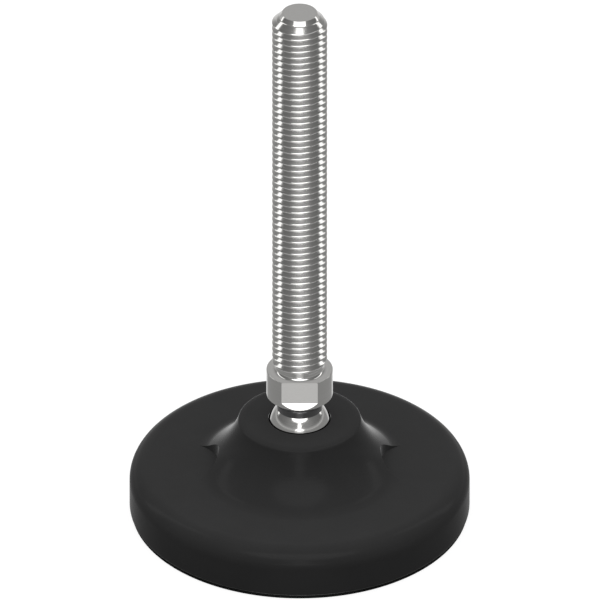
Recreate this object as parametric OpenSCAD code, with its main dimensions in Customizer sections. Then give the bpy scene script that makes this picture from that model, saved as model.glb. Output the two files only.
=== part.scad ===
// Swivel levelling foot: a threaded spindle with a ball end, which turns and tilts in the hub
// of a round moulded base. Millimetres, +Z up, origin at the middle of the pad's underside.

/* [Base] */
// Outside diameter of the base
base_d = 98; // [92:1:120]
// Height of the flat ring round the hub, above the floor
plate_h = 15.3; // [14:0.1:18]
// Height of the hub's flat top, above the floor
hub_h = 30.75; // [29:0.25:36]
// Diameter of the hub's flat top
hub_top_d = 31; // [30:0.2:34]
// Radius of the crown that falls away round the hub's flat top
crown_r = 5.3; // [4.5:0.1:7]
// Slope of the crown where it meets the hub's edge, in degrees
crown_angle = 19; // [12:1:24]
// Radius of the hub's edge
hub_edge_r = 0.8; // [0.5:0.1:1.2]
// Slope of the hollow flank under the hub's edge, in degrees
flank_angle = 73; // [68:1:78]
// Slope of the flank where its foot starts, in degrees
foot_angle = 37; // [32:1:42]
// Radius where the flank runs out into the flat ring
flank_foot_r = 6.5; // [5:0.1:8]
// Radius of the base's upper rim
rim_r = 5.4; // [4:0.1:6.5]
// Radius at the foot of the outside wall
wall_foot_r = 0.9; // [0.5:0.1:1.5]
// Width of the base's foot, round the recess for the pad's plug
foot_w = 3.5; // [3:0.1:6]

/* [Spot faces] */
// Distance between the middles of the two spot faces for holding-down bolts
spot_spacing = 67.4; // [64:0.2:72]
// Diameter of a spot face
spot_d = 21; // [18:0.5:22]

/* [Anti-slip pad] */
// Diameter of the pad's tread
pad_d = 97; // [90:0.5:98]
// How far the pad stands out below the base
pad_proud = 1; // [0.6:0.1:2]
// How deep the pad's plug reaches into the base
pad_plug_h = 2; // [1.5:0.1:3]
// Number of round grooves in the tread
groove_count = 4; // [1:1:6]
// Width of a groove
groove_w = 1.6; // [1:0.1:2.5]
// Depth of a groove
groove_depth = 0.6; // [0.3:0.1:0.9]

/* [Ball joint] */
// Diameter of the ball on the spindle
ball_d = 17.1; // [16:0.1:18]
// Depth of the ball's centre below the hub's flat top
ball_drop = 1.8; // [1.5:0.1:2.5]
// Wall thickness of the socket liner
liner_wall = 0.45; // [0.4:0.05:0.9]
// Diameter of the vent hole in the liner's bottom
liner_vent_d = 4; // [3:0.5:6]
// Gap between the ball and the liner
ball_gap = 0.1; // [0.05:0.01:0.15]
// Gap between the liner and the hub
liner_gap = 0.1; // [0.05:0.01:0.15]

/* [Neck ring] */
// Outside diameter of the rubber ring above the ball
ring_d = 13.2; // [12.6:0.1:13.8]
// Height of the ring's outside, from the ball to its top
ring_h = 2.25; // [2:0.05:3]
// Radius of the ring's top edge
ring_edge_r = 0.6; // [0.3:0.1:0.7]
// Gap between the ring and the spindle, all round
ring_gap = 0.06; // [0.03:0.01:0.1]

/* [Thread] */
// Nominal size of the thread
thread_d = 16; // [15:1:17]
// How much the finished thread measures under its nominal size
thread_undersize = 0.17; // [0.05:0.01:0.3]
// Distance from one crest to the next
thread_pitch = 2; // [1.5:0.25:2.5]
// Angle between the two flanks, in degrees
thread_angle = 60; // [55:1:70]
// Depth of the thread
thread_depth = 1.05; // [0.8:0.05:1.1]
// Width of a crest
crest_w = 0.25; // [0.15:0.05:0.4]

/* [Spindle] */
// Length from the collar's top to the spindle's end
spindle_length = 120; // [60:5:200]
// Diameter of the thread relief above the collar
relief_d = 13.4; // [12.8:0.1:14]
// Radius at the foot of the thread relief
relief_r = 1.2; // [0.6:0.1:1.4]
// Height of the thread relief
relief_h = 1.7; // [1.5:0.1:3]
// Diameter of the spindle's end face
end_face_d = 10; // [9:0.5:11]
// Diameter of the edge between the two end cones
end_edge_d = 11.7; // [11.2:0.1:13.5]
// Height of the upper end cone
end_cone_h = 1.25; // [0.8:0.05:2]
// Height of the lower end cone
lead_cone_h = 1.85; // [1:0.05:2.5]
// Diameter of the neck between the ring and the collar
neck_d = 11; // [10.6:0.1:12]
// Diameter of the groove that the ring sits in
groove_d = 10; // [9.5:0.1:10.4]

/* [Collar] */
// Diameter of the collar
collar_d = 19.1; // [18:0.1:20]
// Height of the collar
collar_h = 8.4; // [7:0.05:12]
// Height of the collar's underside above the hub's flat top
collar_lift = 8.35; // [8:0.05:12]
// Width across the two wrench flats
flats_w = 16; // [15.5:0.5:17]
// Broken edges of the collar
edge_break = 0.25; // [0.1:0.05:0.4]

/* [Hidden] */
$fn = 96;
cut = 1;

base_r = base_d / 2;
recess_r = base_r - foot_w;
recess_z = pad_proud + pad_plug_h;
plug_gap = 0.1;

ball_r = ball_d / 2;
ball_z = hub_h - ball_drop;
bore_r = ball_r + ball_gap;
liner_r = bore_r + liner_wall;
seat_r = liner_r + liner_gap;

ring_r = ring_d / 2;
ring_top = ball_z + sqrt(ball_r * ball_r - ring_r * ring_r) + ring_h;

thread_r = (thread_d - thread_undersize) / 2;
collar_r = collar_d / 2;
collar_z = hub_h + collar_lift;
collar_top = collar_z + collar_h;
end_z = collar_top + spindle_length;
relief_top = collar_top + relief_h;
thread_low = relief_top + thread_r - relief_d / 2;
thread_high = end_z - end_cone_h - lead_cone_h;

// Direction square to a surface that falls away outwards at this slope, in the half section.
function square_to(slope) = [sin(slope), cos(slope)];

// Half section of the moulding: foot, wall, upper rim and flat ring, then the hub's hollow flank,
// edge and crown. Each arc starts where the one before it ends and runs the same way there.
module base_outline() {
    wall_foot = [base_r - wall_foot_r, pad_proud + wall_foot_r];
    rim = [base_r - rim_r, plate_h - rim_r];
    crown = [hub_top_d / 2, hub_h - crown_r];
    crown_end = crown + crown_r * square_to(crown_angle);
    edge = crown_end - hub_edge_r * square_to(crown_angle);
    flank_end = edge + hub_edge_r * square_to(flank_angle);
    foot_end_z = plate_h + flank_foot_r * (1 - cos(foot_angle));
    hollow_r = (flank_end[1] - foot_end_z) / (cos(foot_angle) - cos(flank_angle));
    hollow = flank_end + hollow_r * square_to(flank_angle);
    foot = hollow - (hollow_r - flank_foot_r) * square_to(foot_angle);

    translate([0, pad_proud]) square([wall_foot[0], rim[1] - pad_proud]);
    translate([0, wall_foot[1]]) square([base_r, rim[1] - wall_foot[1]]);
    translate([0, pad_proud]) square([rim[0], plate_h - pad_proud]);
    translate(wall_foot) circle(r = wall_foot_r);
    translate(rim) circle(r = rim_r);
    difference() {
        translate([0, plate_h]) square([foot[0], foot_end_z - plate_h]);
        translate(foot) circle(r = flank_foot_r);
    }
    difference() {
        translate([0, plate_h]) square([foot[0], flank_end[1] - plate_h]);
        translate(hollow) circle(r = hollow_r);
    }
    translate([0, plate_h]) square([edge[0], crown_end[1] - plate_h]);
    translate(edge) circle(r = hub_edge_r);
    translate([0, plate_h]) square([crown[0], hub_h - plate_h]);
    intersection() {
        translate([0, crown_end[1]]) square([crown_end[0], crown_r]);
        translate(crown) circle(r = crown_r);
    }
}

module base() {
    color("#2b2b2b")
    difference() {
        rotate_extrude() base_outline();
        translate([0, 0, pad_proud - cut]) cylinder(r = recess_r, h = pad_plug_h + cut);
        translate([0, 0, ball_z]) sphere(r = seat_r);
        for (side = [-1, 1])
            translate([side * spot_spacing / 2, 0, plate_h]) cylinder(d = spot_d, h = hub_h);
    }
}

module anti_slip_pad() {
    groove_pitch = recess_r / (groove_count + 1);
    color("#101010")
    rotate_extrude()
    difference() {
        union() {
            square([pad_d / 2, pad_proud]);
            square([recess_r - plug_gap, recess_z]);
        }
        for (i = [1 : groove_count])
            translate([i * groove_pitch, -cut]) square([groove_w, cut + groove_depth]);
    }
}

module socket_liner() {
    color("#151515")
    translate([0, 0, ball_z])
    difference() {
        sphere(r = liner_r);
        sphere(r = bore_r);
        translate([0, 0, ball_drop]) cylinder(r = seat_r, h = seat_r);
        translate([0, 0, -seat_r]) cylinder(d = liner_vent_d, h = seat_r);
    }
}

module neck_ring() {
    hole_r = groove_d / 2 + ring_gap;
    color("#3d3d3d")
    difference() {
        rotate_extrude() {
            translate([hole_r, ball_z]) square([ring_r - ring_edge_r - hole_r, ring_top - ball_z]);
            translate([hole_r, ball_z]) square([ring_r - hole_r, ring_top - ring_edge_r - ball_z]);
            translate([ring_r - ring_edge_r, ring_top - ring_edge_r]) circle(r = ring_edge_r);
        }
        translate([0, 0, ball_z]) sphere(r = ball_r + ring_gap);
    }
}

// Half section of the spindle above the middle of its ball.
module spindle_outline() {
    foot_r = relief_d / 2 + relief_r;
    polygon([
        [0, ball_z],
        [groove_d / 2, ball_z],
        [groove_d / 2, ring_top + ring_gap],
        [neck_d / 2, ring_top + ring_gap],
        [neck_d / 2, collar_z],
        [collar_r - edge_break, collar_z],
        [collar_r, collar_z + edge_break],
        [collar_r, collar_top - edge_break],
        [collar_r - edge_break, collar_top],
        [relief_d / 2, collar_top],
        [relief_d / 2, relief_top],
        [thread_r, thread_low],
        [thread_r, thread_high],
        [end_edge_d / 2, end_z - end_cone_h],
        [end_face_d / 2, end_z],
        [0, end_z]
    ]);
    difference() {
        translate([0, collar_top - edge_break]) square([foot_r, relief_r + edge_break]);
        translate([foot_r, collar_top + relief_r]) circle(r = relief_r);
    }
}

// Half section of the grooves between the crests, from the lower end cone down to the relief.
// The thread is drawn as rings of its true section, each level, without the climb of a helix.
module thread_grooves() {
    mouth = thread_pitch - crest_w;
    root = mouth - 2 * thread_depth * tan(thread_angle / 2);
    top_groove = thread_high - thread_pitch / 4;
    groove_total = floor((top_groove - thread_low - mouth / 2) / thread_pitch) + 1;
    for (i = [0 : groove_total - 1])
        translate([thread_r, top_groove - i * thread_pitch])
        polygon([
            [cut, -mouth / 2],
            [0, -mouth / 2],
            [-thread_depth, -root / 2],
            [-thread_depth, root / 2],
            [0, mouth / 2],
            [cut, mouth / 2]
        ]);
}

// What the cutter takes off for one wrench flat, with its sloped run-out at the collar's foot.
module flat_cut() {
    run_out = collar_r - flats_w / 2;
    rotate([90, 0, -90])
    linear_extrude(2 * collar_r, center = true)
    polygon([
        [flats_w / 2, collar_z + run_out],
        [flats_w / 2 + run_out + cut, collar_z - cut],
        [flats_w / 2 + run_out + cut, collar_top + cut],
        [flats_w / 2, collar_top + cut]
    ]);
}

module spindle() {
    color("silver") {
        translate([0, 0, ball_z]) sphere(r = ball_r);
        difference() {
            rotate_extrude()
            difference() {
                spindle_outline();
                thread_grooves();
            }
            flat_cut();
            rotate(180) flat_cut();
        }
    }
}

base();
anti_slip_pad();
socket_liner();
neck_ring();
spindle();
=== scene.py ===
import math

import bmesh
import bpy
from bpy.props import FloatProperty, FloatVectorProperty, IntProperty, PointerProperty
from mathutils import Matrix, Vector


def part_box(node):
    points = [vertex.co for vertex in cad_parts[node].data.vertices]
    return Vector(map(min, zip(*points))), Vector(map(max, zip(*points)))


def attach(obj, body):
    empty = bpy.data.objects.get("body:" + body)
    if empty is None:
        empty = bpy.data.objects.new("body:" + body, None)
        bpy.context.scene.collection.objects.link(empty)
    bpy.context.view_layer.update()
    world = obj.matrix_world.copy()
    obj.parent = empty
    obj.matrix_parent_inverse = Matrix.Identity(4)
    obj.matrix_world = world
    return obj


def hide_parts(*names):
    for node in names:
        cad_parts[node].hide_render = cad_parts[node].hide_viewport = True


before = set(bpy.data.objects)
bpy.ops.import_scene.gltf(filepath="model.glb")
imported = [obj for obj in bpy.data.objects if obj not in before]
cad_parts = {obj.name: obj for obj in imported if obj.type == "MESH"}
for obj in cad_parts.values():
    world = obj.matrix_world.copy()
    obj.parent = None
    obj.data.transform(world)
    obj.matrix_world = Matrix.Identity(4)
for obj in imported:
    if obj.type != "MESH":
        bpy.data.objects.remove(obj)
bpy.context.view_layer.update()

bl_info = {
    "name": "Swivel Levelling Foot",
    "version": (1, 0, 0),
    "blender": (4, 5, 0),
    "location": "View3D > Sidebar > Levelling Foot",
    "description": "Builds a machine levelling foot: moulded base, pad and threaded spindle",
    "category": "Add Mesh",
}

BASE_LOW, BASE_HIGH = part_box("base")
PAD_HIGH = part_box("anti_slip_pad")[1]
LINER_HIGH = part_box("socket_liner")[1]
RING_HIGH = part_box("neck_ring")[1]
SPINDLE_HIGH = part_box("spindle")[1]

MM = 0.001

# Steps of a rounding, and of one whose radius is at most FINE_RADIUS
ROUND_STEPS = 14
FINE_STEPS = 3
FINE_RADIUS = 0.7 * MM
# Steps across the narrow underside of the neck ring
UNDERSIDE_STEPS = 6
# Faces round the wide pieces, and round the small ones of the ball joint
WIDE_COLUMNS = 240
JOINT_COLUMNS = 160
# How close a supporting point lies to its corner, and the shortest stretch that gets two
SUPPORT = 0.2 * MM
SUPPORTED_LENGTH = 1 * MM
# Points nearer to the axis than POLE are one pole, and points within WELD are one point
POLE = 1e-7
WELD = 1e-6
# Edges that turn by more than this shade as sharp
SHARP_ANGLE = math.radians(32)


def length(name, description, default):
    """A size in metres, shown in the scene's own unit of length."""
    return FloatProperty(name=name, description=description, default=default, min=0.0,
                         precision=5, subtype="DISTANCE", unit="LENGTH")


def angle(name, description, degrees):
    """An angle, given in degrees and kept in radians."""
    return FloatProperty(name=name, description=description, default=math.radians(degrees),
                         subtype="ANGLE", unit="ROTATION")


def count(name, description, default, least):
    """A whole number of at least this many."""
    return IntProperty(name=name, description=description, default=default, min=least)


def colour(name, description, default):
    """A linear colour."""
    return FloatVectorProperty(name=name, description=description, default=default, size=3,
                               min=0.0, max=1.0, subtype="COLOR")


def roughness(name, description, default):
    """A roughness, from 0 for a mirror to 1 for chalk."""
    return FloatProperty(name=name, description=description, default=default, min=0.0, max=1.0,
                         subtype="FACTOR")


def optic(name, description, default):
    """A size of the camera, in millimetres."""
    return FloatProperty(name=name, description=description, default=default, min=1.0,
                         subtype="DISTANCE_CAMERA", unit="CAMERA")


# Sizes and colours

class FootBaseSizes(bpy.types.PropertyGroup):
    """Sizes of the moulded base"""
    radius: length("Radius", "Radius of the outside wall", BASE_HIGH.x)
    foot_z: length("Foot height", "Height of the base's foot above the floor", BASE_LOW.z)
    plate_h: length("Ring height", "Height of the flat ring round the hub", 15.3 * MM)
    hub_h: length("Hub height", "Height of the hub's flat top", BASE_HIGH.z)
    hub_top_r: length("Hub top radius", "Radius of the hub's flat top", 15.5 * MM)
    crown_r: length("Crown rounding", "Radius of the crown round the hub's flat top", 5.3 * MM)
    crown_angle: angle("Crown slope", "Slope of the crown where it meets the hub's edge", 19)
    hub_edge_r: length("Hub edge rounding", "Radius of the hub's edge", 0.8 * MM)
    flank_angle: angle("Flank slope", "Slope of the hollow flank under the hub's edge", 73)
    foot_angle: angle("Foot slope", "Slope of the flank where its foot starts", 37)
    flank_foot_r: length("Flank foot rounding", "Radius where the flank meets the ring", 6.5 * MM)
    rim_r: length("Rim rounding", "Radius of the upper rim", 5.4 * MM)
    wall_foot_r: length("Wall foot rounding", "Radius at the foot of the wall", 0.9 * MM)
    mouth_edge_r: length("Mouth rounding", "Radius at the socket's mouth", 0.05 * MM)
    foot_w: length("Foot width", "Width of the foot round the pad's plug", 3.5 * MM)
    spot_spacing: length("Spot face spacing", "Between the middles of the spot faces", 67.4 * MM)
    spot_r: length("Spot face radius", "Radius of a spot face", 10.5 * MM)


class FootPadSizes(bpy.types.PropertyGroup):
    """Sizes of the anti-slip pad"""
    radius: length("Radius", "Radius of the tread", PAD_HIGH.x)
    edge_r: length("Edge rounding", "Radius of the tread's edges", 0.2 * MM)
    plug_gap: length("Plug gap", "Gap between the plug and the base's foot", 0.1 * MM)
    groove_count: count("Grooves", "Round grooves in the tread", 4, 1)
    groove_w: length("Groove width", "Width of a groove", 1.6 * MM)
    groove_depth: length("Groove depth", "Depth of a groove", 0.6 * MM)


class FootJointSizes(bpy.types.PropertyGroup):
    """Sizes of the ball joint and of the rubber ring above it"""
    ball_r: length("Ball radius", "Radius of the spindle's ball", 8.55 * MM)
    ball_z: length("Ball height", "Height of the ball's centre", 28.95 * MM)
    liner_r: length("Liner radius", "Outside radius of the socket liner", LINER_HIGH.x)
    liner_wall: length("Liner wall", "Wall of the socket liner", 0.45 * MM)
    liner_edge: length("Liner edge", "Broken edge of the liner's rim", 0.08 * MM)
    seat_gap: length("Seat gap", "Gap between the liner and the hub", 0.1 * MM)
    vent_r: length("Vent radius", "Radius of the vent hole in the liner", 2 * MM)
    ring_r: length("Ring radius", "Outside radius of the rubber ring", RING_HIGH.x)
    ring_top: length("Ring top", "Height of the rubber ring's top", RING_HIGH.z)
    ring_edge_r: length("Ring edge", "Rounding of the ring's top edge", 0.6 * MM)
    ring_gap: length("Ring gap", "Gap between the ring and the spindle", 0.06 * MM)


class FootSpindleSizes(bpy.types.PropertyGroup):
    """Sizes of the spindle: neck, collar, thread and tip"""
    groove_r: length("Groove radius", "Radius of the groove that the ring sits in", 5 * MM)
    neck_r: length("Neck radius", "Radius of the neck under the collar", 5.5 * MM)
    collar_r: length("Collar radius", "Radius of the collar", SPINDLE_HIGH.x)
    collar_low: length("Collar underside", "Height of the collar's underside", 39.1 * MM)
    collar_high: length("Collar top", "Height of the collar's top", 47.5 * MM)
    flat_y: length("Flat distance", "From the axis to a wrench flat", 8 * MM)
    edge_r: length("Broken edge", "Rounding of the turned edges", 0.22 * MM)
    relief_r: length("Relief radius", "Radius of the thread relief", 6.7 * MM)
    relief_foot_r: length("Relief foot", "Radius at the foot of the relief", 1.2 * MM)
    thread_low: length("Thread start", "Height where the thread's run-out starts", 49.2 * MM)
    crest_r: length("Crest radius", "Radius over the thread's crests", 7.915 * MM)
    pitch: length("Pitch", "Pitch of the thread", 2 * MM)
    crest_w: length("Crest width", "Width of the flat crest", 0.08 * MM)
    shoulder_depth: length("Shoulder depth", "Depth of the crest's rolled shoulders", 0.16 * MM)
    shoulder_half: angle("Half shoulder angle", "Half the angle between the shoulders", 48)
    shoulder_r: length("Shoulder rounding", "Rounding between a shoulder and its flank", 0.6 * MM)
    crest_edge_r: length("Crest edge", "Rounding of the crest's edges", 0.04 * MM)
    depth: length("Thread depth", "Depth of the thread", 1.14 * MM)
    flank_half: angle("Half flank angle", "Half the angle between the thread's flanks", 34)
    root_r: length("Root rounding", "Rounding of the thread's root", 0.04 * MM)
    first_crest: length("First crest", "Height of the helix at its start, on +X", 45.4 * MM)
    columns: count("Columns", "Faces round the spindle", 84, 24)
    top_z: length("Top", "Height of the end face", SPINDLE_HIGH.z)
    end_face_r: length("End face radius", "Radius of the end face", 5 * MM)
    end_edge_r: length("End edge radius", "Radius between the two end cones", 5.85 * MM)
    end_cone_h: length("Upper cone", "Height of the upper end cone", 1.25 * MM)
    lead_cone_h: length("Lower cone", "Height of the lower end cone", 1.85 * MM)
    tip_edge_r: length("Tip edge", "Rounding of the end face's edge", 0.1 * MM)
    tip_line: length("Tip line", "Half width and depth of the line between the cones", 0.05 * MM)


class FootFinishes(bpy.types.PropertyGroup):
    """Colours and roughness of the finishes"""
    plastic: colour("Plastic", "Colour of the moulded base", (0.0335, 0.0335, 0.0337))
    plastic_rough: roughness("Plastic roughness", "Roughness of the moulded base", 0.2)
    pad: colour("Pad", "Colour of the rubber pad", (0.004, 0.004, 0.004))
    pad_rough: roughness("Pad roughness", "Roughness of the rubber pad", 0.75)
    liner: colour("Liner", "Colour of the socket liner", (0.001, 0.001, 0.001))
    liner_rough: roughness("Liner roughness", "Roughness of the socket liner", 0.7)
    ring: colour("Ring", "Colour of the rubber ring above the ball", (0.045, 0.045, 0.045))
    ring_rough: roughness("Ring roughness", "Roughness of the rubber ring", 0.2)
    steel: colour("Steel", "Colour of the stainless spindle", (0.58, 0.575, 0.56))
    turned_rough: roughness("Turned steel", "Roughness of the turned faces", 0.14)
    milled_rough: roughness("Milled steel", "Roughness of the wrench flats", 0.182)


class FootStage(bpy.types.PropertyGroup):
    """Camera and floor"""
    lens: optic("Lens", "Focal length of the long lens", 1700)
    sensor: optic("Sensor", "Width of the sensor", 36)
    elevation: angle("Elevation", "How far the camera looks down", 32.18)
    view_width: length("View width", "Width of the view at the object", 172.15 * MM)
    target_x: length("Aim across", "Where the camera aims, across", 0.11 * MM)
    target_z: length("Aim height", "Where the camera aims, above the floor", 70.7 * MM)
    floor_size: length("Floor size", "Width of the floor", 6)
    floor_gap: length("Floor gap", "How far the floor lies under the pad's tread", 0.02 * MM)


GROUPS = {
    "foot_base": FootBaseSizes,
    "foot_pad": FootPadSizes,
    "foot_joint": FootJointSizes,
    "foot_spindle": FootSpindleSizes,
    "foot_finish": FootFinishes,
    "foot_stage": FootStage,
}


# Half sections and turned shapes

def arc(centre, radius, start, end, steps):
    """Points of an arc in the half section, by angles from outwards towards up."""
    angles = [start + (end - start) * i / steps for i in range(steps + 1)]
    return [(centre[0] + radius * math.cos(a), centre[1] + radius * math.sin(a)) for a in angles]


def rounded(corners, fine_steps=FINE_STEPS):
    """The outline through corners (x, z, rounding radius), of which the two end ones are sharp."""
    points = []
    for i, (x, z, radius) in enumerate(corners):
        if radius == 0:
            points.append((x, z))
            continue
        here = Vector((x, z))
        back = (Vector(corners[i - 1][:2]) - here).normalized()
        on = (Vector(corners[i + 1][:2]) - here).normalized()
        half = back.angle(on) / 2
        reach = radius / math.tan(half)
        centre = here + (back + on).normalized() * (radius / math.sin(half))
        first = here + back * reach - centre
        last = here + on * reach - centre
        start = math.atan2(first.y, first.x)
        turn = math.atan2(first.x * last.y - first.y * last.x, first.dot(last))
        steps = ROUND_STEPS if radius > FINE_RADIUS else fine_steps
        points += arc(centre, radius, start, start + turn, steps)
    return points


def supported(points, closed=False):
    """The outline with a point near each end of its long stretches, so that flats shade flat."""
    out = []
    nexts = points[1:] + (points[:1] if closed else [])
    for here, then in zip(points, nexts):
        out.append(here)
        a, b = Vector(here), Vector(then)
        if (b - a).length > SUPPORTED_LENGTH:
            step = (b - a).normalized() * SUPPORT
            out += [tuple(a + step), tuple(b - step)]
    if not closed:
        out.append(points[-1])
    return out


def lathe(outline, columns, closed=False):
    """The mesh that an outline (radius, height) sweeps round the Z axis. A pole is one point."""
    bm = bmesh.new()
    turn = [2 * math.pi * i / columns for i in range(columns)]
    rows = []
    for r, z in supported(outline, closed):
        if r < POLE:
            rows.append([bm.verts.new((0, 0, z))])
        else:
            rows.append([bm.verts.new((r * math.cos(t), r * math.sin(t), z)) for t in turn])
    pairs = list(zip(rows, rows[1:]))
    if closed:
        pairs.append((rows[-1], rows[0]))
    for low, high in pairs:
        for i in range(columns):
            j = (i + 1) % columns
            under = low[i % len(low)], low[j % len(low)]
            over = high[j % len(high)], high[i % len(high)]
            bm.faces.new(dict.fromkeys(under + over))
    bmesh.ops.recalc_face_normals(bm, faces=bm.faces)
    return bm


def to_mesh(bm, name):
    """A plain mesh of a bmesh, which is freed."""
    mesh = bpy.data.meshes.new(name)
    bm.to_mesh(mesh)
    bm.free()
    return mesh


def discard(helper):
    """Removes a helper object and its mesh."""
    mesh = helper.data
    bpy.data.objects.remove(helper)
    bpy.data.meshes.remove(mesh)


def cut_away(bm, cutters):
    """The bmesh with each cutter's solid taken off it."""
    body = bpy.data.objects.new("cut_body", to_mesh(bm, "cut_body"))
    tools = [bpy.data.objects.new("cut_tool", to_mesh(cutter, "cut_tool")) for cutter in cutters]
    for helper in [body, *tools]:
        bpy.context.scene.collection.objects.link(helper)
    for tool in tools:
        modifier = body.modifiers.new("cut", "BOOLEAN")
        modifier.operation = "DIFFERENCE"
        modifier.solver = "EXACT"
        modifier.object = tool
    graph = bpy.context.evaluated_depsgraph_get()
    result = bpy.data.meshes.new_from_object(body.evaluated_get(graph))
    cut = bmesh.new()
    cut.from_mesh(result)
    bpy.data.meshes.remove(result)
    for helper in [body, *tools]:
        discard(helper)
    if not cut.faces:
        raise RuntimeError("the cut left nothing of the piece")
    return cut


def add_piece(name, bm, materials, body, node):
    """Makes the piece that stands for a CAD node, with its finish, and lets it ride on its body.

    It is left out of the other pieces' reflections, which show the studio alone.
    """
    mesh = to_mesh(bm, name)
    mesh.polygons.foreach_set("use_smooth", [True] * len(mesh.polygons))
    mesh.set_sharp_from_angle(angle=SHARP_ANGLE)
    for material in materials:
        mesh.materials.append(material)
    piece = bpy.data.objects.new(name, mesh)
    piece.visible_glossy = False
    bpy.context.scene.collection.objects.link(piece)
    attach(piece, body)
    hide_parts(node)


# Finishes

# How much broader the clouds of tone are than the grain
CLOUD_TO_GRAIN = 28.0
# How fast the turning marks change along their run, against across it
ALONG_MARKS = 0.012


def new_group(name, sockets, tree_type="ShaderNodeTree"):
    """An empty node group with sockets given as (in or out, name, type, default)."""
    group = bpy.data.node_groups.new(name, tree_type)
    for direction, label, kind, default in sockets:
        socket = group.interface.new_socket(
            name=label, in_out="INPUT" if direction == "in" else "OUTPUT", socket_type=kind)
        if default is not None:
            socket.default_value = default
    return group


def add_node(tree, kind, values=None, **settings):
    """A node with its settings, and with each input in values set or linked."""
    node = tree.nodes.new(kind)
    for key, value in settings.items():
        setattr(node, key, value)
    for key, value in (values or {}).items():
        if isinstance(value, bpy.types.NodeSocket):
            tree.links.new(value, node.inputs[key])
        else:
            node.inputs[key].default_value = value
    return node


def calc(tree, operation, *values):
    """The output of a Math node on up to three values or sockets."""
    node = add_node(tree, "ShaderNodeMath", dict(enumerate(values)), operation=operation)
    return node.outputs[0]


def noise(tree, place, scale, detail, rough):
    """The grey output of a noise texture."""
    return add_node(tree, "ShaderNodeTexNoise", {
        "Vector": place, "Scale": scale, "Detail": detail, "Roughness": rough}).outputs[0]


def tone_round_one(tree, pattern, spread):
    """A pattern round 0.5, most of which lies within a quarter of it, as a tone round 1."""
    gain = calc(tree, "MULTIPLY", spread, 4.0)
    return calc(tree, "MULTIPLY_ADD", calc(tree, "SUBTRACT", pattern, 0.5), gain, 1.0)


def grain_group():
    """Fine moulded grain: a height for bump, and a tone round 1 for colour and roughness."""
    name = "moulded_grain"
    if name in bpy.data.node_groups:
        return bpy.data.node_groups[name]
    tree = new_group(name, [
        ("in", "Position", "NodeSocketVector", None),
        ("in", "Grain Size", "NodeSocketFloat", 0.4 * MM),
        ("in", "Tone Spread", "NodeSocketFloat", 0.1),
        ("out", "Height", "NodeSocketFloat", None),
        ("out", "Tone", "NodeSocketFloat", None),
    ])
    entry = add_node(tree, "NodeGroupInput").outputs
    scale = calc(tree, "DIVIDE", 1.0, entry["Grain Size"])
    grain = noise(tree, entry["Position"], scale, detail=2.0, rough=0.55)
    broad = calc(tree, "DIVIDE", scale, CLOUD_TO_GRAIN)
    cloud = noise(tree, entry["Position"], broad, detail=3.0, rough=0.5)
    both = calc(tree, "MULTIPLY", calc(tree, "ADD", grain, cloud), 0.5)
    tone = tone_round_one(tree, both, entry["Tone Spread"])
    add_node(tree, "NodeGroupOutput", {"Height": grain, "Tone": tone})
    return tree


def turning_group():
    """Fine marks that run round the axis: a height for bump, and a tone round 1."""
    name = "turning_marks"
    if name in bpy.data.node_groups:
        return bpy.data.node_groups[name]
    tree = new_group(name, [
        ("in", "Position", "NodeSocketVector", None),
        ("in", "Spacing", "NodeSocketFloat", 0.12 * MM),
        ("in", "Tone Spread", "NodeSocketFloat", 0.1),
        ("out", "Height", "NodeSocketFloat", None),
        ("out", "Tone", "NodeSocketFloat", None),
    ])
    entry = add_node(tree, "NodeGroupInput").outputs
    parts = add_node(tree, "ShaderNodeSeparateXYZ", {0: entry["Position"]}).outputs
    radius = calc(tree, "SQRT", calc(tree, "ADD", calc(tree, "MULTIPLY", parts[0], parts[0]),
                                     calc(tree, "MULTIPLY", parts[1], parts[1])))
    frequency = calc(tree, "DIVIDE", 1.0, entry["Spacing"])
    slow = calc(tree, "MULTIPLY", frequency, ALONG_MARKS)
    across = add_node(tree, "ShaderNodeCombineXYZ", {
        0: calc(tree, "MULTIPLY", radius, frequency),
        1: calc(tree, "MULTIPLY", parts[2], frequency),
        2: calc(tree, "MULTIPLY", parts[0], slow)}).outputs[0]
    marks = noise(tree, across, 1.0, detail=2.0, rough=0.6)
    tone = tone_round_one(tree, marks, entry["Tone Spread"])
    add_node(tree, "NodeGroupOutput", {"Height": marks, "Tone": tone})
    return tree


def new_material(name, group, inputs, base, rough, bump_strength, bump_height, shader):
    """A material whose colour, roughness and bump vary by a pattern group.

    The inputs go to the group, and the values in shader to the Principled BSDF.
    """
    material = bpy.data.materials.new(name)
    material.use_nodes = True
    tree = material.node_tree
    principled = tree.nodes["Principled BSDF"]
    place = add_node(tree, "ShaderNodeTexCoord").outputs["Object"]
    pattern = add_node(tree, "ShaderNodeGroup", node_tree=group)
    tree.links.new(place, pattern.inputs["Position"])
    for label, value in inputs.items():
        pattern.inputs[label].default_value = value
    tint = add_node(tree, "ShaderNodeVectorMath", {0: base}, operation="SCALE")
    tree.links.new(pattern.outputs["Tone"], tint.inputs["Scale"])
    tree.links.new(tint.outputs[0], principled.inputs["Base Color"])
    uneven = calc(tree, "MULTIPLY", pattern.outputs["Tone"], rough)
    tree.links.new(uneven, principled.inputs["Roughness"])
    relief = add_node(tree, "ShaderNodeBump", {
        "Strength": bump_strength, "Distance": bump_height, "Height": pattern.outputs["Height"]})
    tree.links.new(relief.outputs[0], principled.inputs["Normal"])
    for label, value in shader.items():
        principled.inputs[label].default_value = value
    return material


def plastic_material(finish):
    """Black moulded plastic with a fine satin grain."""
    return new_material(
        "base_plastic", grain_group(), {"Grain Size": 0.35 * MM, "Tone Spread": 0.08},
        finish.plastic, finish.plastic_rough, bump_strength=0.25, bump_height=0.02 * MM,
        shader={"Specular IOR Level": 0.03})


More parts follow.
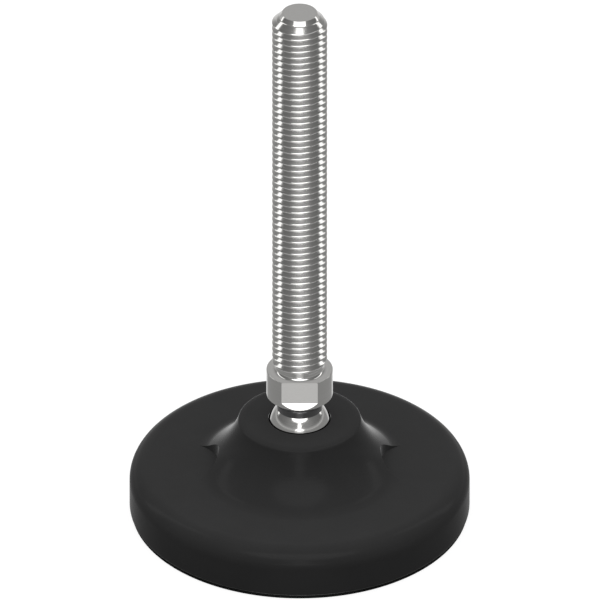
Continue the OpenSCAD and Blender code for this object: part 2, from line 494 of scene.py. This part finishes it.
def pad_material(finish):
    """Plain black rubber, slightly coarser than the plastic."""
    return new_material(
        "pad_rubber", grain_group(), {"Grain Size": 0.6 * MM, "Tone Spread": 0.2},
        finish.pad, finish.pad_rough, bump_strength=0.35, bump_height=0.04 * MM,
        shader={"Specular IOR Level": 0.12})


def liner_material(finish):
    """Smooth black bearing plastic."""
    return new_material(
        "liner_plastic", grain_group(), {"Grain Size": 0.8 * MM, "Tone Spread": 0.05},
        finish.liner, finish.liner_rough, bump_strength=0.1, bump_height=0.01 * MM,
        shader={"Specular IOR Level": 0.02})


def ring_material(finish):
    """Dark grey rubber with a slight sheen."""
    return new_material(
        "ring_rubber", grain_group(), {"Grain Size": 0.3 * MM, "Tone Spread": 0.12},
        finish.ring, finish.ring_rough, bump_strength=0.2, bump_height=0.015 * MM,
        shader={"Specular IOR Level": 0.9})


def turned_material(finish):
    """Bright turned stainless steel."""
    return new_material(
        "turned_steel", turning_group(), {"Spacing": 0.14 * MM, "Tone Spread": 0.06},
        finish.steel, finish.turned_rough, bump_strength=0.12, bump_height=0.01 * MM,
        shader={"Metallic": 1.0})


def milled_material(finish):
    """Milled stainless steel, a little more even and duller than the turned faces."""
    return new_material(
        "milled_steel", turning_group(), {"Spacing": 0.3 * MM, "Tone Spread": 0.03},
        finish.steel, finish.milled_rough, bump_strength=0.05, bump_height=0.01 * MM,
        shader={"Metallic": 1.0})


# Pieces

# How far a spot face stops above the flat ring, so that the cut leaves the ring whole
SPOT_STEP = 0.005 * MM
# How far a cutter reaches past what it cuts
PAST = 1 * MM
# A milled face's normal has less than this along X, and more than this along Y
MILLED_X = 0.01
MILLED_Y = 0.6


def square_to(fall):
    """The direction, in the half section, square to a surface that falls outwards by an angle."""
    return Vector((math.sin(fall), math.cos(fall)))


def hub_outline(size):
    """The hub's half section: its foot on the flat ring, its hollow flank, its edge and its crown.

    The arcs are tangent to one another, so the hollow's radius follows from the rest.
    """
    quarter = math.pi / 2
    crown = Vector((size.hub_top_r, size.hub_h - size.crown_r))
    edge = crown + (size.crown_r - size.hub_edge_r) * square_to(size.crown_angle)
    flank_end = edge + size.hub_edge_r * square_to(size.flank_angle)
    low, high, top = size.foot_angle, size.flank_angle, size.crown_angle
    foot_end_z = size.plate_h + size.flank_foot_r * (1 - math.cos(low))
    hollow_r = (flank_end.y - foot_end_z) / (math.cos(low) - math.cos(high))
    hollow = flank_end + hollow_r * square_to(high)
    foot = hollow - (hollow_r - size.flank_foot_r) * square_to(low)
    return (arc(foot, size.flank_foot_r, -quarter, -quarter - low, ROUND_STEPS)
            + arc(hollow, hollow_r, -quarter - low, -quarter - high, ROUND_STEPS)[1:]
            + arc(edge, size.hub_edge_r, quarter - high, quarter - top, ROUND_STEPS)[1:]
            + arc(crown, size.crown_r, quarter - top, quarter, ROUND_STEPS)[1:])


def base_outline(size, joint):
    """Half section of the moulding, from the pad's recess round to the socket's bottom."""
    seat_r = joint.liner_r + joint.seat_gap
    recess_r = size.radius - size.foot_w
    mouth_z = size.hub_h - size.mouth_edge_r
    mouth_angle = math.asin((mouth_z - joint.ball_z) / seat_r)
    mouth_r = seat_r * math.cos(mouth_angle)
    hub = hub_outline(size)
    outline = rounded([
        (0, PAD_HIGH.z, 0),
        (recess_r, PAD_HIGH.z, 0),
        (recess_r, size.foot_z, 0),
        (size.radius, size.foot_z, size.wall_foot_r),
        (size.radius, size.plate_h, size.rim_r),
        (*hub[0], 0),
    ])
    outline += hub[1:] + rounded([
        (*hub[-1], 0),
        (mouth_r, size.hub_h, size.mouth_edge_r),
        (mouth_r, mouth_z, 0),
    ])[1:]
    socket = arc((0, joint.ball_z), seat_r, mouth_angle, -math.pi / 2, 2 * ROUND_STEPS)
    return outline[:-1] + socket[:-1] + [(0, joint.ball_z - seat_r)]


def spot_cutter(size, side):
    """The round cutter of one spot face, which stops a hair above the flat ring."""
    bottom = size.plate_h + SPOT_STEP
    outline = [(0, bottom), (size.spot_r, bottom), (size.spot_r, size.hub_h), (0, size.hub_h)]
    cutter = lathe(outline, JOINT_COLUMNS)
    bmesh.ops.translate(cutter, verts=cutter.verts, vec=(side * size.spot_spacing / 2, 0, 0))
    return cutter


class FOOT_OT_base(bpy.types.Operator):
    """Build the moulded base with its hub and two spot faces"""
    bl_idname = "foot.base"
    bl_label = "Moulded base"

    def execute(self, context):
        size = context.scene.foot_base
        blank = lathe(base_outline(size, context.scene.foot_joint), WIDE_COLUMNS)
        moulding = cut_away(blank, [spot_cutter(size, side) for side in (-1, 1)])
        add_piece("base_moulding", moulding, [plastic_material(context.scene.foot_finish)],
                  "base", "base")
        return {"FINISHED"}


class FOOT_OT_pad(bpy.types.Operator):
    """Build the rubber pad with its grooved tread and its plug"""
    bl_idname = "foot.pad"
    bl_label = "Anti-slip pad"

    def execute(self, context):
        size = context.scene.foot_pad
        base = context.scene.foot_base
        recess_r = base.radius - base.foot_w
        spacing = recess_r / (size.groove_count + 1)
        corners = [(0, 0, 0)]
        for i in range(1, size.groove_count + 1):
            near, far = i * spacing, i * spacing + size.groove_w
            corners += [(near, 0, size.edge_r), (near, size.groove_depth, 0),
                        (far, size.groove_depth, 0), (far, 0, size.edge_r)]
        corners += [
            (size.radius, 0, size.edge_r),
            (size.radius, base.foot_z, size.edge_r),
            (recess_r - size.plug_gap, base.foot_z, 0),
            (recess_r - size.plug_gap, PAD_HIGH.z, 0),
            (0, PAD_HIGH.z, 0),
        ]
        pad = lathe(rounded(corners), WIDE_COLUMNS)
        add_piece("tread_pad", pad, [pad_material(context.scene.foot_finish)],
                  "base", "anti_slip_pad")
        return {"FINISHED"}


class FOOT_OT_liner(bpy.types.Operator):
    """Build the thin cup between the ball and the hub"""
    bl_idname = "foot.liner"
    bl_label = "Socket liner"

    def execute(self, context):
        joint = context.scene.foot_joint
        top = context.scene.foot_base.hub_h
        inner_r = joint.liner_r - joint.liner_wall
        rise = top - joint.ball_z
        middle = (0, joint.ball_z)
        inner = arc(middle, inner_r, math.asin(rise / inner_r),
                    -math.acos(joint.vent_r / inner_r), 2 * ROUND_STEPS)
        outer = arc(middle, joint.liner_r, -math.acos(joint.vent_r / joint.liner_r),
                    math.asin(rise / joint.liner_r), 2 * ROUND_STEPS)
        mouth_r = outer[-1][0]
        rim = [(mouth_r, top - joint.liner_edge), (mouth_r - joint.liner_edge, top)]
        cup = lathe(inner + outer[:-1] + rim, JOINT_COLUMNS, closed=True)
        add_piece("liner_cup", cup, [liner_material(context.scene.foot_finish)],
                  "socket", "socket_liner")
        return {"FINISHED"}


class FOOT_OT_ring(bpy.types.Operator):
    """Build the rubber ring that sits on the ball"""
    bl_idname = "foot.ring"
    bl_label = "Neck ring"

    def execute(self, context):
        joint = context.scene.foot_joint
        hole_r = context.scene.foot_spindle.groove_r + joint.ring_gap
        touch_r = joint.ball_r + joint.ring_gap
        underside = arc((0, joint.ball_z), touch_r, math.acos(hole_r / touch_r),
                        math.acos(joint.ring_r / touch_r), UNDERSIDE_STEPS)
        shoulder = rounded([
            (joint.ring_r, underside[-1][1], 0),
            (joint.ring_r, joint.ring_top, joint.ring_edge_r),
            (hole_r, joint.ring_top, 0),
        ])
        ring = lathe(underside + shoulder[1:], JOINT_COLUMNS, closed=True)
        add_piece("neck_seal", ring, [ring_material(context.scene.foot_finish)],
                  "ring", "neck_ring")
        return {"FINISHED"}


def shank_outline(size, joint):
    """Half section of the spindle from the ball's bottom to the foot of the thread."""
    rise = math.acos(size.groove_r / joint.ball_r)
    ball = arc((0, joint.ball_z), joint.ball_r, -math.pi / 2, rise, 3 * ROUND_STEPS)
    ball[0] = (0, joint.ball_z - joint.ball_r)
    groove_top = joint.ring_top + joint.ring_gap
    upper = rounded([
        (*ball[-1], 0),
        (size.groove_r, groove_top, 0),
        (size.neck_r, groove_top, 0),
        (size.neck_r, size.collar_low, 0),
        (size.collar_r, size.collar_low, size.edge_r),
        (size.collar_r, size.collar_high, size.edge_r),
        (size.relief_r, size.collar_high, size.relief_foot_r),
        (size.relief_r, size.thread_low, 0),
    ])
    return ball[:-1] + upper


def flat_cutter(size, side):
    """The cutter of one wrench flat, with its sloped run-out at the collar's foot."""
    far_y = size.collar_r + PAST
    outline = [
        (size.flat_y, size.collar_low + size.collar_r - size.flat_y),
        (far_y, size.collar_low - PAST),
        (far_y, size.collar_high + PAST),
        (size.flat_y, size.collar_high + PAST),
    ]
    bm = bmesh.new()
    left, right = [[bm.verts.new((x, side * y, z)) for y, z in outline] for x in (-far_y, far_y)]
    bm.faces.new(left)
    bm.faces.new(reversed(right))
    for i in range(len(outline)):
        bm.faces.new([left[i - 1], right[i - 1], right[i], left[i]])
    bmesh.ops.recalc_face_normals(bm, faces=bm.faces)
    return bm


def tip_outline(size, start_r):
    """Half section of the two end cones and the end face, from radius start_r up."""
    cone_top = size.top_z - size.end_cone_h
    cone_low = cone_top - size.lead_cone_h
    steepness = size.lead_cone_h / (size.crest_r - size.end_edge_r)
    start_z = cone_low + (size.crest_r - start_r) * steepness
    lean = (size.end_edge_r - size.end_face_r) / size.end_cone_h
    line = size.tip_line
    return rounded([
        (start_r, start_z, 0),
        (size.end_edge_r + line / steepness, cone_top - line, 0),
        (size.end_edge_r - line, cone_top, 0),
        (size.end_edge_r - line * lean, cone_top + line, 0),
        (size.end_face_r, size.top_z, size.tip_edge_r),
        (0, size.top_z, 0),
    ])


def thread_section(size):
    """One pitch of the thread, from the middle of a crest up, as (radius, height) of each row."""
    half_crest = size.crest_w / 2
    shoulder_x = size.crest_r - size.shoulder_depth
    shoulder_z = half_crest + size.shoulder_depth * math.tan(size.shoulder_half)
    root_x = size.crest_r - size.depth
    root_z = shoulder_z + (shoulder_x - root_x) * math.tan(size.flank_half)
    rise = rounded([
        (size.crest_r, 0, 0),
        (size.crest_r, half_crest, size.crest_edge_r),
        (shoulder_x, shoulder_z, size.shoulder_r),
        (root_x, root_z, 0),
    ], fine_steps=1)[1:-1]
    dip = rounded([
        (shoulder_x, shoulder_z, 0),
        (root_x, root_z, size.root_r),
        (root_x, size.pitch - root_z, size.root_r),
        (shoulder_x, size.pitch - shoulder_z, 0),
    ])[1:-1]
    return rise + dip + [(x, size.pitch - z) for x, z in reversed(rise)]


def thread_tree():
    """Sweeps one pitch of a thread along its helix, between two heights and inside two cones.

    A grid is rolled into the helix: its columns run round the axis, and its rows up the section.
    """
    tree = new_group("thread_helix", [
        ("in", "Section", "NodeSocketGeometry", None),
        ("in", "Rows", "NodeSocketInt", 1),
        ("in", "Turns", "NodeSocketInt", 1),
        ("in", "Columns", "NodeSocketInt", 24),
        ("in", "Pitch", "NodeSocketFloat", 2 * MM),
        ("in", "First Crest", "NodeSocketFloat", 0.0),
        ("in", "Low End", "NodeSocketFloat", 0.0),
        ("in", "High End", "NodeSocketFloat", 100 * MM),
        ("in", "End Radius", "NodeSocketFloat", 5 * MM),
        ("in", "Lead Slope", "NodeSocketFloat", 1.0),
        ("in", "Weld", "NodeSocketFloat", WELD),
        ("in", "Finish", "NodeSocketMaterial", None),
        ("out", "Thread", "NodeSocketGeometry", None),
    ], "GeometryNodeTree")
    entry = add_node(tree, "NodeGroupInput").outputs
    row_count = calc(tree, "MULTIPLY", entry["Rows"], entry["Turns"])
    grid = add_node(tree, "GeometryNodeMeshGrid", {
        "Size X": 1.0, "Size Y": 1.0,
        "Vertices X": calc(tree, "ADD", entry["Columns"], 1.0),
        "Vertices Y": calc(tree, "ADD", row_count, 1.0)})
    place = add_node(tree, "GeometryNodeInputPosition").outputs[0]
    parts = add_node(tree, "ShaderNodeSeparateXYZ", {0: place}).outputs
    share = calc(tree, "ADD", parts[0], 0.5)
    row = calc(tree, "ROUND", calc(tree, "MULTIPLY", calc(tree, "ADD", parts[1], 0.5), row_count))
    turn = calc(tree, "FLOOR", calc(tree, "DIVIDE", calc(tree, "ADD", row, 0.5), entry["Rows"]))
    step = calc(tree, "SUBTRACT", row, calc(tree, "MULTIPLY", turn, entry["Rows"]))
    sample = add_node(tree, "GeometryNodeSampleIndex", data_type="FLOAT_VECTOR", domain="POINT")
    tree.links.new(entry["Section"], sample.inputs["Geometry"])
    tree.links.new(place, sample.inputs["Value"])
    tree.links.new(step, sample.inputs["Index"])
    section = add_node(tree, "ShaderNodeSeparateXYZ", {0: sample.outputs[0]}).outputs
    climb = calc(tree, "MULTIPLY", calc(tree, "ADD", turn, share), entry["Pitch"])
    free_z = calc(tree, "ADD", calc(tree, "ADD", entry["First Crest"], climb), section[2])
    z = calc(tree, "MINIMUM", calc(tree, "MAXIMUM", free_z, entry["Low End"]), entry["High End"])
    run_out = calc(tree, "ADD", entry["End Radius"], calc(tree, "SUBTRACT", z, entry["Low End"]))
    lead = calc(tree, "MULTIPLY_ADD", calc(tree, "SUBTRACT", entry["High End"], z),
                entry["Lead Slope"], entry["End Radius"])
    radius = calc(tree, "MINIMUM", calc(tree, "MINIMUM", section[0], run_out), lead)
    around = calc(tree, "MULTIPLY", share, 2 * math.pi)
    spot = add_node(tree, "ShaderNodeCombineXYZ", {
        0: calc(tree, "MULTIPLY", radius, calc(tree, "COSINE", around)),
        1: calc(tree, "MULTIPLY", radius, calc(tree, "SINE", around)),
        2: z}).outputs[0]
    swept = add_node(tree, "GeometryNodeSetPosition", {
        "Geometry": grid.outputs["Mesh"], "Position": spot})
    welded = add_node(tree, "GeometryNodeMergeByDistance", {
        "Geometry": swept.outputs[0], "Distance": entry["Weld"]})
    real = add_node(tree, "GeometryNodeRealizeInstances", {"Geometry": welded.outputs[0]})
    dressed = add_node(tree, "GeometryNodeSetMaterial", {
        "Geometry": real.outputs[0], "Material": entry["Finish"]})
    add_node(tree, "NodeGroupOutput", {"Thread": dressed.outputs[0]})
    return tree


def thread_mesh(size, finish, high_end):
    """The threaded length up to high_end as a plain mesh, made by the thread tree."""
    section = thread_section(size)
    mesh = bpy.data.meshes.new("thread_section")
    mesh.from_pydata([(x, 0, z) for x, z in section], [], [])
    helper = bpy.data.objects.new("thread_section", mesh)
    bpy.context.scene.collection.objects.link(helper)
    modifier = helper.modifiers.new("thread", "NODES")
    modifier.node_group = thread_tree()
    values = {
        "Rows": len(section),
        "Turns": math.ceil((high_end - size.first_crest) / size.pitch),
        "Columns": size.columns,
        "Pitch": size.pitch,
        "First Crest": size.first_crest,
        "Low End": size.thread_low,
        "High End": high_end,
        "End Radius": size.relief_r,
        "Lead Slope": (size.crest_r - size.end_edge_r) / size.lead_cone_h,
        "Weld": WELD,
        "Finish": finish,
    }
    for item in modifier.node_group.interface.items_tree:
        if item.in_out == "INPUT" and item.name in values:
            modifier[item.identifier] = values[item.name]
    graph = bpy.context.evaluated_depsgraph_get()
    result = bpy.data.meshes.new_from_object(helper.evaluated_get(graph))
    discard(helper)
    if not result.polygons:
        raise RuntimeError("the thread tree made no faces")
    result.materials.clear()
    return result


def milled_shank(size, joint):
    """The spindle under its thread, open at the top; its milled faces take the second material."""
    blank = lathe(shank_outline(size, joint) + [(0, size.thread_low)], size.columns)
    shank = cut_away(blank, [flat_cutter(size, side) for side in (-1, 1)])
    cap = [face for face in shank.faces
           if all(abs(vert.co.z - size.thread_low) < WELD for vert in face.verts)]
    bmesh.ops.delete(shank, geom=cap, context="FACES")
    for face in shank.faces:
        square = abs(face.normal.x) < MILLED_X and abs(face.normal.y) > MILLED_Y
        if square and size.collar_low < face.calc_center_median().z < size.collar_high:
            face.material_index = 1
    return shank


class FOOT_OT_spindle(bpy.types.Operator):
    """Build the spindle: ball, neck, collar with two flats, thread and tip"""
    bl_idname = "foot.spindle"
    bl_label = "Threaded spindle"

    def execute(self, context):
        size = context.scene.foot_spindle
        finish = context.scene.foot_finish
        turned, milled = turned_material(finish), milled_material(finish)
        spindle = milled_shank(size, context.scene.foot_joint)
        tip = tip_outline(size, size.relief_r)
        tip_z = tip[0][1]
        for mesh in (thread_mesh(size, turned, tip_z), to_mesh(lathe(tip, size.columns), "tip")):
            spindle.from_mesh(mesh)
            bpy.data.meshes.remove(mesh)
        bmesh.ops.remove_doubles(spindle, verts=spindle.verts, dist=2 * WELD)
        bmesh.ops.recalc_face_normals(spindle, faces=spindle.faces)
        add_piece("threaded_spindle", spindle, [turned, milled],
                  "spindle", "spindle")
        return {"FINISHED"}


# Stage

# Greys of the floor and the world in reflections, as (0 in front to 1 behind, tone)
FLOOR_TONES = [(0.0, 0.82), (0.005, 0.8), (0.03, 0.36), (0.38, 0.36), (0.86, 0.38), (0.95, 0.85)]
WORLD_TONES = [(0.0, 0.4), (0.3, 0.25), (0.6, 0.2), (0.85, 0.35), (1.0, 0.58)]
# The world's tone overhead, and the range of height (1 is straight up) where it takes over
ZENITH_TONE = 0.48
ZENITH_START, ZENITH_FULL = 0.88, 0.97
# The world's tone at the horizon, and the height up to which it fades out
HORIZON_TONE = 0.75
HORIZON_RISE = 0.16
# The soft light on dull surfaces: its level at the horizon, and how much more there is overhead
FILL_LOW = 0.15
FILL_RISE = 1.22
# The floor's own glow to the camera, and how much of the light on it the floor gives back
FLOOR_GLOW = 0.86
FLOOR_BOUNCE = 0.25

LAMPS = {
    # name: (direction from the object, distance, shape, width, height, radiance)
    "front_softbox": ((0.0, -0.65, 0.76), 1.3, "ELLIPSE", 1.5, 0.85, 1.65),
    "front_strip": ((0.0, -0.96, 0.29), 1.3, "ELLIPSE", 0.32, 0.62, 1.7),
    "horizon_strip": ((0.0, -1.0, 0.03), 1.3, "ELLIPSE", 0.8, 0.2, 1.7),
    "left_strip": ((-0.77, 0.36, 0.58), 1.3, "RECTANGLE", 0.24, 1.2, 1.4),
    "right_strip": ((0.77, 0.36, 0.58), 1.3, "RECTANGLE", 0.24, 1.2, 1.4),
}
# Watts that a square metre of a rectangular lamp takes for a radiance of 1
RADIANCE_TO_POWER = 4.0


def ray_kinds(tree):
    """Two masks: camera rays, and the glossy and transmission rays that make reflections."""
    path = add_node(tree, "ShaderNodeLightPath").outputs
    mirrored = calc(tree, "MAXIMUM", path["Is Glossy Ray"], path["Is Transmission Ray"])
    return path["Is Camera Ray"], mirrored


def blend(tree, share, first, second):
    """The output that goes from the first tone to the second as share goes from 0 to 1."""
    node = add_node(tree, "ShaderNodeMix", {0: share}, data_type="FLOAT")
    for socket, value in ((node.inputs[2], first), (node.inputs[3], second)):
        if isinstance(value, bpy.types.NodeSocket):
            tree.links.new(value, socket)
        else:
            socket.default_value = value
    return node.outputs[0]


def tone_ramp(tree, place, stops):
    """A grey by direction round the object: each stop is (0 in front to 1 behind, tone)."""
    flat = add_node(tree, "ShaderNodeVectorMath", {0: place, 1: (1, 1, 0)}, operation="MULTIPLY")
    unit = add_node(tree, "ShaderNodeVectorMath", {0: flat.outputs[0]}, operation="NORMALIZE")
    depth = add_node(tree, "ShaderNodeSeparateXYZ", {0: unit.outputs[0]}).outputs[1]
    ramp = add_node(tree, "ShaderNodeValToRGB", {0: calc(tree, "MULTIPLY_ADD", depth, 0.5, 0.5)})
    elements = ramp.color_ramp.elements
    while len(elements) < len(stops):
        elements.new(0.5)
    for element, (position, tone) in zip(elements, stops):
        element.position, element.color = position, (tone, tone, tone, 1)
    return ramp.outputs[0]


def floor_material():
    """White to the camera but for the object's shadow, and toned like the studio in reflections."""
    material = bpy.data.materials.new("studio_floor")
    material.use_nodes = True
    tree = material.node_tree
    tree.nodes.remove(tree.nodes["Principled BSDF"])
    camera, mirrored = ray_kinds(tree)
    place = add_node(tree, "ShaderNodeTexCoord").outputs["Object"]
    tone = tone_ramp(tree, place, FLOOR_TONES)
    glow = calc(tree, "ADD", calc(tree, "MULTIPLY", camera, FLOOR_GLOW),
                calc(tree, "MULTIPLY", mirrored, tone))
    light = add_node(tree, "ShaderNodeEmission", {"Color": (1, 1, 1, 1), "Strength": glow})
    cover = calc(tree, "SUBTRACT", FLOOR_BOUNCE, calc(tree, "MULTIPLY", mirrored, FLOOR_BOUNCE))
    shade = add_node(tree, "ShaderNodeCombineColor", {0: cover, 1: cover, 2: cover})
    matt = add_node(tree, "ShaderNodeBsdfDiffuse", {"Color": shade.outputs[0]})
    both = add_node(tree, "ShaderNodeAddShader", {0: light.outputs[0], 1: matt.outputs[0]})
    tree.links.new(both.outputs[0], tree.nodes["Material Output"].inputs["Surface"])
    return material


def studio_world():
    """Makes the world: white to the camera, and a soft grey studio for light and reflections."""
    world = bpy.data.worlds.new("studio")
    bpy.context.scene.world = world
    world.use_nodes = True
    tree = world.node_tree
    camera, mirrored = ray_kinds(tree)
    direction = add_node(tree, "ShaderNodeTexCoord").outputs["Generated"]
    height = add_node(tree, "ShaderNodeSeparateXYZ", {0: direction}).outputs[2]
    overhead = add_node(tree, "ShaderNodeMapRange", {
        "Value": height, "From Min": ZENITH_START, "From Max": ZENITH_FULL}).outputs[0]
    upper = blend(tree, overhead, tone_ramp(tree, direction, WORLD_TONES), ZENITH_TONE)
    above = add_node(tree, "ShaderNodeMapRange", {
        "Value": height, "From Max": HORIZON_RISE}).outputs[0]
    studio = blend(tree, above, HORIZON_TONE, upper)
    fill = calc(tree, "MULTIPLY_ADD", height, FILL_RISE, FILL_LOW)
    lit = blend(tree, mirrored, fill, studio)
    tree.links.new(blend(tree, camera, lit, 1.0), tree.nodes["Background"].inputs["Color"])


def aim_at(item, aim, direction, distance):
    """Puts a lamp or camera at a distance from what it looks at, in a direction from it."""
    back = Vector(direction).normalized()
    item.location = aim + back * distance
    item.rotation_euler = (-back).to_track_quat("-Z", "Y").to_euler()


def add_lamp(name, aim, direction, distance, shape, width, height, radiance):
    """Adds a soft lamp for highlights, which dull surfaces and the camera don't see."""
    data = bpy.data.lights.new(name, "AREA")
    data.shape = shape
    data.size, data.size_y = width, height
    data.energy = radiance * width * height * RADIANCE_TO_POWER
    lamp = bpy.data.objects.new(name, data)
    bpy.context.scene.collection.objects.link(lamp)
    aim_at(lamp, aim, direction, distance)
    lamp.visible_camera = False
    lamp.visible_diffuse = False


def add_floor(stage):
    """Adds the square floor just under the pad."""
    half, z = stage.floor_size / 2, -stage.floor_gap
    corners = [(-half, -half, z), (half, -half, z), (half, half, z), (-half, half, z)]
    mesh = bpy.data.meshes.new("studio_floor")
    mesh.from_pydata(corners, [], [(0, 1, 2, 3)])
    mesh.materials.append(floor_material())
    floor = bpy.data.objects.new("studio_floor", mesh)
    bpy.context.scene.collection.objects.link(floor)


def add_camera(stage, aim):
    """Adds the long-lens camera that looks down at the object from the front."""
    data = bpy.data.cameras.new("view")
    data.lens, data.sensor_width = stage.lens, stage.sensor
    distance = stage.view_width * stage.lens / stage.sensor
    data.clip_start, data.clip_end = distance / 100, distance * 4
    camera = bpy.data.objects.new("view", data)
    bpy.context.scene.collection.objects.link(camera)
    aim_at(camera, aim, (0, -math.cos(stage.elevation), math.sin(stage.elevation)), distance)
    bpy.context.scene.camera = camera


class FOOT_OT_stage(bpy.types.Operator):
    """Set up the floor, the lamps, the backdrop and the camera"""
    bl_idname = "foot.stage"
    bl_label = "Studio stage"

    def execute(self, context):
        stage = context.scene.foot_stage
        add_floor(stage)
        studio_world()
        aim = Vector((stage.target_x, 0, stage.target_z))
        for name, values in LAMPS.items():
            add_lamp(name, aim, *values)
        add_camera(stage, aim)
        context.scene.view_settings.view_transform = "Standard"
        return {"FINISHED"}


OPERATORS = (
    FOOT_OT_base,
    FOOT_OT_pad,
    FOOT_OT_liner,
    FOOT_OT_ring,
    FOOT_OT_spindle,
    FOOT_OT_stage,
)


class FOOT_PT_panel(bpy.types.Panel):
    """Lists the pieces of the levelling foot"""
    bl_idname = "FOOT_PT_panel"
    bl_label = "Levelling Foot"
    bl_space_type = "VIEW_3D"
    bl_region_type = "UI"
    bl_category = "Levelling Foot"

    def draw(self, context):
        for operator in OPERATORS:
            self.layout.operator(operator.bl_idname)


def register():
    """Registers the classes and hangs the size groups on the scene."""
    for name, group in GROUPS.items():
        bpy.utils.register_class(group)
        setattr(bpy.types.Scene, name, PointerProperty(type=group))
    for item in (*OPERATORS, FOOT_PT_panel):
        bpy.utils.register_class(item)


def unregister():
    """Undoes register."""
    for item in (FOOT_PT_panel, *reversed(OPERATORS)):
        bpy.utils.unregister_class(item)
    for name, group in GROUPS.items():
        delattr(bpy.types.Scene, name)
        bpy.utils.unregister_class(group)


def main():
    register()
    bpy.ops.foot.base()
    bpy.ops.foot.pad()
    bpy.ops.foot.liner()
    bpy.ops.foot.ring()
    bpy.ops.foot.spindle()
    bpy.ops.foot.stage()


if __name__ == "__main__":
    main()
